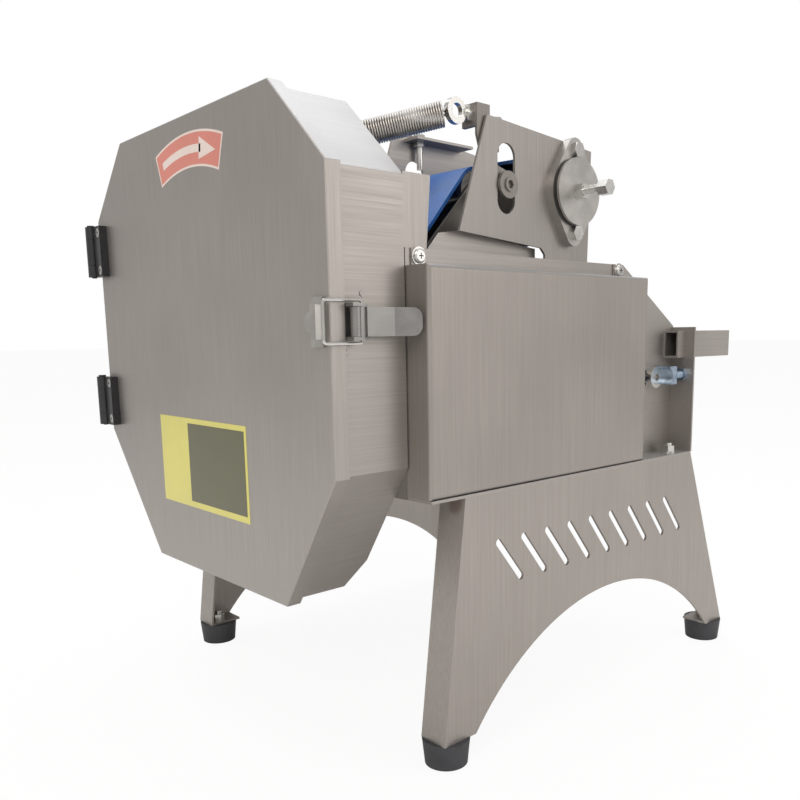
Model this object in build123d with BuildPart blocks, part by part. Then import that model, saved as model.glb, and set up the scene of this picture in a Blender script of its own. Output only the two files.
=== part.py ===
"""Belt-fed vegetable slicer: octagonal knife housing with a hinged door, open feed channel, two belts."""
import os
from math import atan2, cos, degrees, radians, sin

from build123d import *

os.makedirs("parts", exist_ok=True)

# Positions are measured from the door's left edge (x, to the right), from the door's front face
# (y, to the back) and from the floor (z). MID_X and MID_Y move the middle of the footprint to the origin.
MID_X = 236.0
MID_Y = 284.5

# Sheet metal
SHEET = 2.0
PLATE = 2.5

# Knife housing and door
DOOR_OUTLINE = [(0, 278), (0, 509), (74, 580), (362, 580), (436, 509), (436, 270), (358, 150), (108, 150)]
HOUSING_INSET = 4.0
HOUSING_FRONT = 12.0
HOUSING_BACK = 77.5
DOOR_RIM = 14.0
HINGE_SIDE_RIM = 11.0
HINGE_X = -1.0
HINGE_Y = -8.0
HINGE_HEIGHTS = [311.5, 475.5]
HINGE_LENGTH = 54.0
KNUCKLE_R = 6.0
HINGE_PIN_R = 2.5
RUNNING_GAP = 0.05

# Body between the side plates
BODY_MIDDLE = 231.5
BODY_RIGHT = 432.0
BODY_FRONT = 78.5
BODY_BACK = 481.5
BODY_FLOOR = 243.0
BODY_TOP = 450.8
SLOPE_START = 380.0
REAR_HEIGHT = 387.5

# Legs and feet
LEG_OUTER = 460.0
FOOT_HEIGHT = 24.0
FOOT_X = 443.5
FOOT_YS = [107.0, 553.0]

# Feed mouth
MOUTH_LEFT = 308.0
MOUTH_RIGHT = 392.0
MOUTH_FLOOR = 356.0
MOUTH_TOP = 470.0

# Lower conveyor
BELT_THICK = 3.0
ROLLER_GAP = 0.3
CONVEYOR_R = 29.0
DRIVE_Y = 112.0
TAIL_Y = 438.0
CONVEYOR_Z = 331.0
BELT_RIGHT = 390.0

# Press belt and the arm that carries it
PIVOT_Y = 289.0
PIVOT_Z = 514.0
DRUM_R = 40.0
TOP_ROLLER = (202.0, 512.6)
TOP_ROLLER_R = 21.5
NOSE_ROLLER = (118.0, 425.0)
NOSE_ROLLER_R = 15.0
PRESS_RIGHT = 390.0
INNER_PLATE = 302.0
BELT_LEFT = INNER_PLATE + 9.0
PRESS_LEFT = INNER_PLATE + 12.5
ARM_PLATE_LEFT = INNER_PLATE + 4.0
STOP_LEFT = INNER_PLATE + 8.5
CHAIN_X = INNER_PLATE - 15.0
GUARD_LEFT = INNER_PLATE - 22.0
ARM_RIGHT = 427.0
AXLE_R = 6.0
DRUM_SHAFT_R = 10.0

# Knife
KNIFE_X = 218.0
KNIFE_Z = 365.0
KNIFE_R = 185.0
KNIFE_SHAFT_R = 12.5
BLADE_BACK = 70.0
BLADE_THICK = 4.0
KNIFE_MOTOR = (112.0, 318.0)
KNIFE_PULLEY_R = 52.0
MOTOR_PULLEY_R = 30.0

# Gear motors
CONVEYOR_GEAR = (345.0, 288.0)
PRESS_GEAR = (289.0, 395.0)

# Fasteners
M8_R = 4.0
M8_NUT = 7.5
M6_R = 3.0
M6_NUT = 5.8


def side_plane(x):
    """Plane at x facing right; its own axes run back and up."""
    return Plane(origin=(x - MID_X, -MID_Y, 0), x_dir=(0, 1, 0), z_dir=(1, 0, 0))


def front_plane(y):
    """Plane at y facing the front; its own axes run right and up."""
    return Plane(origin=(-MID_X, y - MID_Y, 0), x_dir=(1, 0, 0), z_dir=(0, -1, 0))


def level_plane(z):
    """Plane at z facing up; its own axes run right and back."""
    return Plane(origin=(-MID_X, -MID_Y, z), x_dir=(1, 0, 0), z_dir=(0, 0, 1))


def plate(plane, points, thickness, mode=Mode.ADD, corner=0.0):
    """Extrude a closed outline from a plane, with its corners rounded if asked."""
    with BuildSketch(plane) as outline:
        with BuildLine():
            Polyline(*points, close=True)
        make_face()
        if corner > 0:
            fillet(outline.vertices(), corner)
    extrude(outline.sketch, amount=thickness, mode=mode)


def disc(plane, centre, radius, thickness, mode=Mode.ADD):
    """Extrude a circle from a plane."""
    with BuildSketch(plane) as outline:
        with Locations(centre):
            Circle(radius)
    extrude(outline.sketch, amount=thickness, mode=mode)


def hexagon(plane, centre, radius, thickness, mode=Mode.ADD):
    """Extrude a bolt head or a nut from a plane."""
    with BuildSketch(plane) as outline:
        with Locations(centre):
            RegularPolygon(radius, 6)
    extrude(outline.sketch, amount=thickness, mode=mode)


def block(x0, x1, y0, y1, z0, z1, mode=Mode.ADD):
    """A box between two corners."""
    plate(level_plane(z0), [(x0, y0), (x1, y0), (x1, y1), (x0, y1)], z1 - z0, mode)


def slot(plane, start, end, width, thickness, mode=Mode.SUBTRACT):
    """Cut a round-ended slot between two end points."""
    length = ((end[0] - start[0]) ** 2 + (end[1] - start[1]) ** 2) ** 0.5
    angle = degrees(atan2(end[1] - start[1], end[0] - start[0]))
    with BuildSketch(plane) as outline:
        with Locations(((start[0] + end[0]) / 2, (start[1] + end[1]) / 2)):
            SlotCenterToCenter(length, width, rotation=angle)
    extrude(outline.sketch, amount=thickness, mode=mode)


def loop(plane, circles, thickness, width):
    """Extrude an endless band that wraps the given circles (centre, outer radius)."""
    with BuildSketch(plane) as outer:
        for centre, radius in circles:
            with Locations(centre):
                Circle(radius)
        make_hull()
    with BuildSketch(plane) as inner:
        for centre, radius in circles:
            with Locations(centre):
                Circle(radius - thickness)
        make_hull()
    extrude(outer.sketch, amount=width)
    extrude(inner.sketch, amount=width, mode=Mode.SUBTRACT)


def mirrored(x):
    """The same distance on the other side of the body's middle."""
    return 2 * BODY_MIDDLE - x


middle_plane = Plane(origin=(BODY_MIDDLE - MID_X, 0, 0), x_dir=(0, 1, 0), z_dir=(1, 0, 0))
foot_points = [(x, y) for x in (FOOT_X, mirrored(FOOT_X)) for y in FOOT_YS]
leg_bolt_points = [(x, y) for x in (447.0, mirrored(447.0)) for y in (145.0, 455.0)]

# Stand
with BuildPart() as leg_right:
    with BuildSketch(side_plane(LEG_OUTER - PLATE)) as leg_outline:
        with BuildLine():
            Polyline((129, 24), (90, 24), (117.5, BODY_FLOOR), (481.5, BODY_FLOOR), (567.7, 24), (532, 24))
            ThreePointArc((532, 24), (328, 120), (129, 24))
        make_face()
    extrude(amount=PLATE)
    for k in range(9):
        slot(side_plane(LEG_OUTER - PLATE), (159 + 33.9 * k, 196.3), (189 + 33.9 * k, 159.3), 7.0, PLATE)
    plate(side_plane(429), [(90, 24), (117.5, BODY_FLOOR), (120, BODY_FLOOR), (92.5, 24)], 28.5)
    plate(side_plane(429), [(567.7, 24), (481.5, BODY_FLOOR), (479, BODY_FLOOR), (565.2, 24)], 28.5)
    block(432, LEG_OUTER - PLATE, 119, 480, BODY_FLOOR - PLATE, BODY_FLOOR)
    block(429, LEG_OUTER - PLATE, 91, 129, FOOT_HEIGHT, FOOT_HEIGHT + PLATE)
    block(429, LEG_OUTER - PLATE, 532, 566, FOOT_HEIGHT, FOOT_HEIGHT + PLATE)
    for y in FOOT_YS:
        disc(level_plane(FOOT_HEIGHT), (FOOT_X, y), M8_R + 0.25, PLATE, Mode.SUBTRACT)
    for y in (145.0, 455.0):
        disc(level_plane(BODY_FLOOR - PLATE), (447, y), M8_R + 0.25, PLATE, Mode.SUBTRACT)

with BuildPart() as leg_left:
    mirror(leg_right.part, about=middle_plane)

with BuildPart() as rubber_feet:
    for x, y in foot_points:
        with BuildSketch(level_plane(0)) as foot_bottom:
            with Locations((x, y)):
                Circle(19.5)
        with BuildSketch(level_plane(FOOT_HEIGHT)) as foot_top:
            with Locations((x, y)):
                Circle(22)
        loft([foot_bottom.sketch, foot_top.sketch])
        disc(level_plane(0), (x, y), 9.5, 9.0, Mode.SUBTRACT)
        disc(level_plane(9), (x, y), M8_R + 0.25, FOOT_HEIGHT - 9, Mode.SUBTRACT)

HOUSING_BOLTS = [(50, 434), (50, 262), (402, 280), (412, 430)]
with BuildPart() as frame_bolts:
    for x, y in foot_points:
        hexagon(level_plane(3.7), (x, y), M8_NUT, 5.3)
        disc(level_plane(9), (x, y), M8_R, 28.0)
        hexagon(level_plane(FOOT_HEIGHT + PLATE), (x, y), M8_NUT, 6.5)
    for x, y in leg_bolt_points:
        hexagon(level_plane(BODY_FLOOR - PLATE - 5.3), (x, y), M8_NUT, 5.3)
        disc(level_plane(BODY_FLOOR - PLATE), (x, y), M8_R, 16.0)
        disc(level_plane(BODY_FLOOR + PLATE), (x, y), 8.0, 1.6)
        hexagon(level_plane(BODY_FLOOR + PLATE + 1.6), (x, y), M8_NUT, 6.5)
    for centre in HOUSING_BOLTS:
        hexagon(front_plane(HOUSING_BACK - PLATE), centre, M8_NUT, 3.6)
        disc(front_plane(88), centre, M8_R, 88 - HOUSING_BACK + PLATE)
        hexagon(front_plane(86.5), centre, M8_NUT, 6.5)

# Body
SIDE_PROFILE = [(BODY_FRONT, BODY_FLOOR), (BODY_BACK, BODY_FLOOR), (BODY_BACK, REAR_HEIGHT),
                (SLOPE_START, BODY_TOP), (BODY_FRONT, BODY_TOP)]
with BuildPart() as side_plate_right:
    plate(side_plane(BODY_RIGHT - PLATE), SIDE_PROFILE, PLATE)
    block(BODY_RIGHT, LEG_OUTER, BODY_FRONT, BODY_BACK, BODY_FLOOR, BODY_FLOOR + PLATE)
    block(BODY_RIGHT, 461, BODY_BACK - PLATE, BODY_BACK, BODY_FLOOR + PLATE, 386)
    block(BODY_RIGHT, 450, BODY_BACK - PLATE, BODY_BACK, 352, 382, Mode.SUBTRACT)
    for y in (145.0, 455.0):
        disc(level_plane(BODY_FLOOR), (447, y), M8_R + 0.25, PLATE, Mode.SUBTRACT)
    slot(side_plane(BODY_RIGHT - PLATE), (416, CONVEYOR_Z), (TAIL_Y, CONVEYOR_Z), 2 * 8 + 0.1, PLATE)
    disc(side_plane(BODY_RIGHT - PLATE), (DRIVE_Y, CONVEYOR_Z), 14.0, PLATE, Mode.SUBTRACT)
    disc(side_plane(BODY_RIGHT - PLATE), CONVEYOR_GEAR, 12.0, PLATE, Mode.SUBTRACT)
    disc(front_plane(BODY_BACK), (448, CONVEYOR_Z + 2), M8_R + 0.25, PLATE, Mode.SUBTRACT)

with BuildPart() as side_plate_left:
    plate(side_plane(mirrored(BODY_RIGHT)), SIDE_PROFILE, PLATE)
    block(mirrored(LEG_OUTER), mirrored(BODY_RIGHT), BODY_FRONT, BODY_BACK, BODY_FLOOR, BODY_FLOOR + PLATE)
    block(mirrored(461), mirrored(BODY_RIGHT), BODY_BACK - PLATE, BODY_BACK, BODY_FLOOR + PLATE, 386)
    block(mirrored(450), mirrored(BODY_RIGHT), BODY_BACK - PLATE, BODY_BACK, 352, 382, Mode.SUBTRACT)
    for y in (145.0, 455.0):
        disc(level_plane(BODY_FLOOR), (mirrored(447), y), M8_R + 0.25, PLATE, Mode.SUBTRACT)

with BuildPart() as base_plate:
    block(mirrored(429.5), 429.5, 80, BODY_BACK, BODY_FLOOR, BODY_FLOOR + PLATE)

with BuildPart() as front_bulkhead:
    block(mirrored(429.5), 429.5, HOUSING_BACK, 80, BODY_FLOOR, BODY_TOP)
    block(MOUTH_LEFT - 3, MOUTH_RIGHT + 3, HOUSING_BACK, 80, MOUTH_FLOOR - 6, BODY_TOP, Mode.SUBTRACT)
    disc(front_plane(80), (KNIFE_X, KNIFE_Z), 18.0, PLATE, Mode.SUBTRACT)
    for centre in HOUSING_BOLTS:
        disc(front_plane(80), centre, M8_R + 0.25, PLATE, Mode.SUBTRACT)

with BuildPart() as body_cover:
    plate(side_plane(mirrored(429.5)),
          [(80, BODY_TOP), (SLOPE_START, BODY_TOP), (BODY_BACK, REAR_HEIGHT), (BODY_BACK, 245.5),
           (BODY_BACK - SHEET, 245.5), (BODY_BACK - SHEET, REAR_HEIGHT - 2), (SLOPE_START - 1, BODY_TOP - SHEET),
           (80, BODY_TOP - SHEET)], INNER_PLATE - mirrored(429.5))
    block(GUARD_LEFT + 2, INNER_PLATE, 262, 316, BODY_TOP - 5, BODY_TOP + 1, Mode.SUBTRACT)

with BuildPart() as drive_cover:
    block(BODY_RIGHT, LEG_OUTER, BODY_FRONT, 387, BODY_FLOOR + PLATE, 436.6)
    outer_edges = drive_cover.edges().filter_by_position(Axis.X, LEG_OUTER - MID_X - 0.1, LEG_OUTER - MID_X + 0.1)
    fillet(outer_edges, 4.0)
    block(BODY_RIGHT, LEG_OUTER - SHEET, BODY_FRONT + SHEET, 387 - SHEET, BODY_FLOOR + PLATE, 436.6 - SHEET,
          Mode.SUBTRACT)
    block(BODY_RIGHT, BODY_RIGHT + 1.5, 84, 100, 430, 450.8)
    block(BODY_RIGHT, BODY_RIGHT + 1.5, 361, 377, 430, 450.8)

with BuildPart() as cover_screws:
    for y in (91.6, 369.6):
        disc(side_plane(BODY_RIGHT + 1.5), (y, 444.5), 7.5, 1.0)
        disc(side_plane(BODY_RIGHT + 2.5), (y, 444.5), 6.0, 2.6)
    fillet(cover_screws.edges().group_by(Axis.X)[-1], 1.8)

with BuildPart() as handle_tube_right:
    block(432, 450, 463, 583, 352, 382)
    tube_ends = handle_tube_right.edges().filter_by(Axis.Z).group_by(Axis.Y)[-1]
    fillet(tube_ends, 7.0)
    block(434, 448, 463, 576, 354, 380, Mode.SUBTRACT)

with BuildPart() as handle_tube_left:
    mirror(handle_tube_right.part, about=middle_plane)

# Knife housing
with BuildPart() as housing:
    with BuildSketch(front_plane(HOUSING_BACK)) as shell_outer:
        with BuildLine():
            Polyline(*DOOR_OUTLINE, close=True)
        make_face()
        offset(amount=-HOUSING_INSET, kind=Kind.INTERSECTION, mode=Mode.REPLACE)
    extrude(shell_outer.sketch, amount=HOUSING_BACK - HOUSING_FRONT)
    with BuildSketch(front_plane(HOUSING_BACK - PLATE)) as shell_inner:
        with BuildLine():
            Polyline(*DOOR_OUTLINE, close=True)
        make_face()
        offset(amount=-HOUSING_INSET - SHEET, kind=Kind.INTERSECTION, mode=Mode.REPLACE)
    extrude(shell_inner.sketch, amount=HOUSING_BACK - PLATE - HOUSING_FRONT, mode=Mode.SUBTRACT)
    block(112, 354, HOUSING_FRONT, HOUSING_BACK - PLATE, 145, 158, Mode.SUBTRACT)
    plate(side_plane(300), [(HOUSING_BACK + 1, 181), (HOUSING_BACK + 1, 145), (58, 145)], 140, Mode.SUBTRACT)
    block(MOUTH_LEFT, MOUTH_RIGHT, HOUSING_BACK - PLATE, HOUSING_BACK, MOUTH_FLOOR, MOUTH_TOP, Mode.SUBTRACT)
    disc(front_plane(HOUSING_BACK), (KNIFE_X, KNIFE_Z), 18.0, PLATE, Mode.SUBTRACT)
    for centre in HOUSING_BOLTS:
        disc(front_plane(HOUSING_BACK), centre, M8_R + 0.25, PLATE, Mode.SUBTRACT)
    for y, z in ((33.6, 413.4), (18.4, 368)):
        disc(side_plane(BODY_RIGHT), (y, z), 2.4, 0.8)
    block(350, 356, HOUSING_BACK, 92, 540, 556)
    disc(side_plane(350), (86, 549), 3.0, 6, Mode.SUBTRACT)

with BuildPart() as shear_plate:
    block(MOUTH_LEFT - 14, MOUTH_RIGHT + 12, 71, HOUSING_BACK - PLATE, MOUTH_FLOOR - 14, MOUTH_TOP + 14)
    block(MOUTH_LEFT, MOUTH_RIGHT, 71, HOUSING_BACK - PLATE, MOUTH_FLOOR, MOUTH_TOP, Mode.SUBTRACT)

with BuildPart() as mouth_hood:
    HOOD_TOP = MOUTH_TOP + 39.6
    WALL = [(HOUSING_BACK, BODY_TOP), (102, BODY_TOP), (107, HOOD_TOP), (HOUSING_BACK, HOOD_TOP)]
    plate(side_plane(BODY_RIGHT - SHEET), WALL, SHEET)
    plate(side_plane(INNER_PLATE - 4), WALL, SHEET)
    block(INNER_PLATE - 4, BODY_RIGHT, HOUSING_BACK, HOUSING_BACK + SHEET, BODY_TOP, HOOD_TOP)
    block(MOUTH_LEFT, MOUTH_RIGHT, HOUSING_BACK, HOUSING_BACK + SHEET, BODY_TOP, MOUTH_TOP, Mode.SUBTRACT)

# Door and hinges
with BuildPart() as door:
    with BuildSketch(front_plane(DOOR_RIM)) as pan_outer:
        with BuildLine():
            Polyline(*DOOR_OUTLINE, close=True)
        make_face()
    extrude(pan_outer.sketch, amount=DOOR_RIM)
    with BuildSketch(front_plane(DOOR_RIM)) as pan_inner:
        with BuildLine():
            Polyline(*DOOR_OUTLINE, close=True)
        make_face()
        offset(amount=-SHEET, kind=Kind.INTERSECTION, mode=Mode.REPLACE)
    extrude(pan_inner.sketch, amount=DOOR_RIM - SHEET, mode=Mode.SUBTRACT)
    block(-1, 24, HINGE_SIDE_RIM, DOOR_RIM + 1, 140, 590, Mode.SUBTRACT)
    for z in HINGE_HEIGHTS:
        for dz in (-20.0, 20.0):
            disc(front_plane(SHEET), (16.5, z + dz), M6_R, SHEET, Mode.SUBTRACT)
    front_edges = door.edges().group_by(Axis.Y)[0]
    chamfer(front_edges, 0.8)

with BuildPart() as hinge_leaves_door:
    for z in HINGE_HEIGHTS:
        low = z - HINGE_LENGTH / 2
        for base in (low, z + 14.5):
            disc(level_plane(base), (HINGE_X, HINGE_Y), KNUCKLE_R, 12.5)
            block(HINGE_X, 8, -8.0, -2.0, base, base + 12.5)
        block(7, 23, -8.5, 0, low, low + HINGE_LENGTH)
        for base in (low, z + 14.5):
            block(1, 8, -3, 0, base, base + 12.5)
            disc(level_plane(base), (HINGE_X, HINGE_Y), HINGE_PIN_R + RUNNING_GAP, 12.5, Mode.SUBTRACT)
        for dz in (-20.0, 20.0):
            disc(front_plane(0), (16.5, z + dz), M6_R, 9.0, Mode.SUBTRACT)
            disc(front_plane(-5.5), (16.5, z + dz), 5.6, 4.0, Mode.SUBTRACT)

with BuildPart() as hinge_screws:
    for z in HINGE_HEIGHTS:
        for dz in (-20.0, 20.0):
            disc(front_plane(SHEET), (16.5, z + dz), M6_R, 7.5)
            disc(front_plane(-5.5), (16.5, z + dz), 5.0, 2.6)

with BuildPart() as hinge_leaves_housing:
    for z in HINGE_HEIGHTS:
        disc(level_plane(z - 14.2), (HINGE_X, HINGE_Y), KNUCKLE_R, 28.4)
        block(-7, -3, HINGE_Y, 36, z - 14.2, z + 14.2)
        block(-7, HOUSING_INSET, 18, 36, z - HINGE_LENGTH / 2, z + HINGE_LENGTH / 2)
        disc(level_plane(z - 14.2), (HINGE_X, HINGE_Y), HINGE_PIN_R + RUNNING_GAP, 28.4, Mode.SUBTRACT)

with BuildPart() as hinge_pins:
    for z in HINGE_HEIGHTS:
        disc(level_plane(z - HINGE_LENGTH / 2 - 1), (HINGE_X, HINGE_Y), HINGE_PIN_R, HINGE_LENGTH + 2)
        disc(level_plane(z + HINGE_LENGTH / 2 + 0.2), (HINGE_X, HINGE_Y), 4.0, 1.5)

# Latch
LATCH_Z = 391.5
with BuildPart() as latch_keeper:
    with BuildSketch(front_plane(0)) as keeper_outline:
        with Locations((422, LATCH_Z)):
            Rectangle(16, 38)
        with Locations((414, LATCH_Z)):
            Circle(8)
    extrude(amount=3)
    block(426, 430, -9, -3, LATCH_Z - 13, LATCH_Z + 13)
    block(423, 427, -9, -6.5, LATCH_Z - 13, LATCH_Z + 13)
    for dz in (-9.6, 10.0):
        disc(front_plane(0), (419.5, LATCH_Z + dz), 2.2, 3, Mode.SUBTRACT)

with BuildPart() as latch_base:
    block(BODY_RIGHT, 434, 14.5, 38, LATCH_Z - 14, LATCH_Z + 14)
    block(434, 446, 14.5, 25, LATCH_Z - 14, LATCH_Z - 11.5)
    block(434, 446, 14.5, 25, LATCH_Z + 11.5, LATCH_Z + 14)
    disc(level_plane(LATCH_Z - 14), (441.5, 20), 1.6, 28)

with BuildPart() as latch_lever:
    plate(level_plane(LATCH_Z - 11.2),
          [(441, 27), (447, 27), (447, 54), (455, 76), (452.4, 77), (444.4, 55.5), (444.4, 31), (441, 31)], 22.4)
    disc(level_plane(LATCH_Z - 11.2), (441.5, 20), 4.2, 22.4)
    block(440.5, 445, 20, 31, LATCH_Z - 11.2, LATCH_Z + 11.2)
    disc(level_plane(LATCH_Z - 11.2), (441.5, 20), 1.6 + RUNNING_GAP, 22.4, Mode.SUBTRACT)
    finger_end = latch_lever.faces().sort_by(Axis.Y)[-1].edges().sort_by(SortBy.LENGTH)[:2]
    fillet(finger_end, 8.0)

WIRE_R = 1.25
BAIL_X = 438.8
with BuildPart() as latch_bail:
    with BuildLine(side_plane(BAIL_X)) as wire_path:
        FilletPolyline((28, LATCH_Z - 16.3), (28, LATCH_Z + 16.3), (-8, LATCH_Z + 16.3), (-8, LATCH_Z - 16.3),
                       radius=2.5, close=True)
    with BuildSketch(Plane(origin=wire_path.line @ 0, z_dir=wire_path.line % 0)) as wire_section:
        RegularPolygon(WIRE_R, 8)
    sweep(wire_section.sketch, path=wire_path.line)

# Lower conveyor and the two plates that carry the arm
CONVEYOR_LOOP = [((DRIVE_Y, CONVEYOR_Z), CONVEYOR_R), ((TAIL_Y, CONVEYOR_Z), CONVEYOR_R)]
with BuildPart() as inner_plate:
    plate(side_plane(INNER_PLATE),
          [(177, 577.6), (268, 571.5), (325, 565), (325, 352), (470, 352), (470, 245.5), (84, 245.5), (84, 352),
           (256, 352), (256, 456), (250, 466), (142.5, 475)], PLATE)
    slot(side_plane(INNER_PLATE), (202, 494), (202, 540), 24.0, PLATE)
    disc(side_plane(INNER_PLATE), (PIVOT_Y, PIVOT_Z), 14.0, PLATE, Mode.SUBTRACT)
    disc(side_plane(INNER_PLATE), (DRIVE_Y, CONVEYOR_Z), DRUM_SHAFT_R + RUNNING_GAP, PLATE, Mode.SUBTRACT)
    disc(side_plane(INNER_PLATE), (TAIL_Y, CONVEYOR_Z), 8.0, PLATE, Mode.SUBTRACT)
    disc(side_plane(INNER_PLATE), (CONVEYOR_GEAR[0], 275), 23.0, PLATE, Mode.SUBTRACT)
    for dz in (-38, 38):
        disc(side_plane(INNER_PLATE), (PIVOT_Y, PIVOT_Z + dz), M8_R, PLATE, Mode.SUBTRACT)
    block(INNER_PLATE + PLATE, INNER_PLATE + 22, 190, 266, 569, 571.5)
    disc(level_plane(569), (STOP_LEFT, 204), M6_R, PLATE, Mode.SUBTRACT)

with BuildPart() as arm_plate_right:
    with BuildSketch(side_plane(ARM_RIGHT)) as arm_outline:
        with BuildLine():
            Polyline((177, 568.6), (288, 560.7), (325, 557.3), (321.5, 451), (321.5, 245.5), (256, 245.5),
                     (256, 455), (250, 460.7), (142.5, 468.8), close=True)
        make_face()
    extrude(amount=PLATE)
    slot(side_plane(ARM_RIGHT), (201.5, 499), (201.5, 537), 23.0, PLATE)
    disc(side_plane(ARM_RIGHT), (PIVOT_Y, PIVOT_Z), 14.0, PLATE, Mode.SUBTRACT)
    for dz in (-38, 38):
        disc(side_plane(ARM_RIGHT), (PIVOT_Y, PIVOT_Z + dz), M8_R, PLATE, Mode.SUBTRACT)
    plate(side_plane(404), [(188, 567.8), (284, 561), (284, 558.5), (188, 565.3)], ARM_RIGHT - 404)
    disc(level_plane(550), (416, 202), M6_R, 20, Mode.SUBTRACT)
    block(421, ARM_RIGHT, 186, 202, 550, 575, Mode.SUBTRACT)

with BuildPart() as arm_bolts:
    for x, y, top, under in ((STOP_LEFT, 204, 571.5, 569.0), (416, 202, 567.3, 563.8)):
        hexagon(level_plane(top), (x, y), M6_NUT, 4.5)
        disc(level_plane(543), (x, y), M6_R, top - 543)
        hexagon(level_plane(under - 4.5), (x, y), M6_NUT, 4.5)
    hexagon(level_plane(563.4), (415, 256), 5.0, 3.5)

with BuildPart() as conveyor_bed:
    block(BELT_LEFT, BELT_RIGHT, 146, 404, 354.3, 356.7)
    block(INNER_PLATE + PLATE, BELT_RIGHT + 2, 160, 168, 346, 354.3)
    block(INNER_PLATE + PLATE, BELT_RIGHT + 2, 380, 388, 346, 354.3)
    block(BELT_RIGHT + 2, ARM_RIGHT, 160, 168, 346, 354.3)
    block(BELT_RIGHT + 2, BODY_RIGHT - PLATE, 380, 388, 346, 354.3)
    block(ARM_RIGHT, BODY_RIGHT - PLATE, 160, 168, 346, 354.3)

with BuildPart() as feed_guides:
    plate(side_plane(417), [(116, 452.6), (129, 467), (150, 470.5), (254, 461), (254, 362), (116, 362)], 1.5)
    plate(side_plane(INNER_PLATE + 7), [(86, 362), (86, 380), (94, 386), (240, 386), (240, 362)], 1.5)
    block(INNER_PLATE + 8.5, INNER_PLATE + 12, 86, 240, 361.5, 363)
    for y in (100, 232):
        block(INNER_PLATE + PLATE, INNER_PLATE + 7, y, y + 8, 345, 366)
    block(418.5, BODY_RIGHT - PLATE, 118, 128, 380, 392)
    block(418.5, ARM_RIGHT, 244, 254, 380, 392)
    block(ARM_RIGHT, BODY_RIGHT - PLATE, 244, 254, 380, 392)

with BuildPart() as conveyor_belt:
    loop(side_plane(BELT_LEFT), CONVEYOR_LOOP, BELT_THICK, BELT_RIGHT - BELT_LEFT)

DRIVE_DRUM_R = CONVEYOR_R - BELT_THICK - ROLLER_GAP
with BuildPart() as conveyor_drive_roller:
    disc(side_plane(BELT_LEFT), (DRIVE_Y, CONVEYOR_Z), DRIVE_DRUM_R, BELT_RIGHT - BELT_LEFT)
    disc(side_plane(INNER_PLATE - 6), (DRIVE_Y, CONVEYOR_Z), DRUM_SHAFT_R, 448 - INNER_PLATE + 6)
    disc(side_plane(440), (DRIVE_Y, CONVEYOR_Z), 24.0, 6)

with BuildPart() as drive_bearing:
    disc(side_plane(418), (DRIVE_Y, CONVEYOR_Z), 26.0, BODY_RIGHT - PLATE - 418)
    disc(side_plane(BODY_RIGHT - PLATE), (DRIVE_Y, CONVEYOR_Z), 14.0, PLATE)
    disc(side_plane(418), (DRIVE_Y, CONVEYOR_Z), DRUM_SHAFT_R + RUNNING_GAP, 20, Mode.SUBTRACT)

TAIL_AXLE_R = 8.0
with BuildPart() as conveyor_tail_roller:
    disc(side_plane(BELT_LEFT), (TAIL_Y, CONVEYOR_Z), DRIVE_DRUM_R, BELT_RIGHT - BELT_LEFT)
    disc(side_plane(BELT_LEFT), (TAIL_Y, CONVEYOR_Z), TAIL_AXLE_R + RUNNING_GAP, BELT_RIGHT - BELT_LEFT,
         Mode.SUBTRACT)

with BuildPart() as tail_axle:
    disc(side_plane(INNER_PLATE - 5), (TAIL_Y, CONVEYOR_Z), TAIL_AXLE_R, 440 - INNER_PLATE + 5)
    disc(side_plane(INNER_PLATE - 5), (TAIL_Y, CONVEYOR_Z), 11.8, 5)
    disc(side_plane(INNER_PLATE + PLATE), (TAIL_Y, CONVEYOR_Z), 11.8, 5)
    disc(side_plane(BELT_RIGHT + 1), (TAIL_Y, CONVEYOR_Z), 11.8, BODY_RIGHT - PLATE - BELT_RIGHT - 1)
    disc(side_plane(BODY_RIGHT), (TAIL_Y, CONVEYOR_Z), 11.8, 8)
    hexagon(side_plane(435), (TAIL_Y, CONVEYOR_Z), 4.6, 5, Mode.SUBTRACT)

with BuildPart() as tension_rod:
    block(433, 453, TAIL_Y + 6, TAIL_Y + 20, CONVEYOR_Z - 8, CONVEYOR_Z + 12)
    disc(side_plane(430), (TAIL_Y, CONVEYOR_Z), 11.8, 30, Mode.SUBTRACT)
    disc(front_plane(BODY_BACK + 14), (448, CONVEYOR_Z + 2), M8_R, BODY_BACK - TAIL_Y)
    hexagon(front_plane(BODY_BACK - PLATE), (448, CONVEYOR_Z + 2), M8_NUT, 6)
    hexagon(front_plane(BODY_BACK + 6), (448, CONVEYOR_Z + 2), M8_NUT, 6)

# Press belt, its arm and its pivot
PRESS_LOOP = [((PIVOT_Y, PIVOT_Z), DRUM_R), (TOP_ROLLER, TOP_ROLLER_R), (NOSE_ROLLER, NOSE_ROLLER_R)]
with BuildPart() as press_belt:
    loop(side_plane(PRESS_LEFT), PRESS_LOOP, BELT_THICK, PRESS_RIGHT - PRESS_LEFT)

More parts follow.
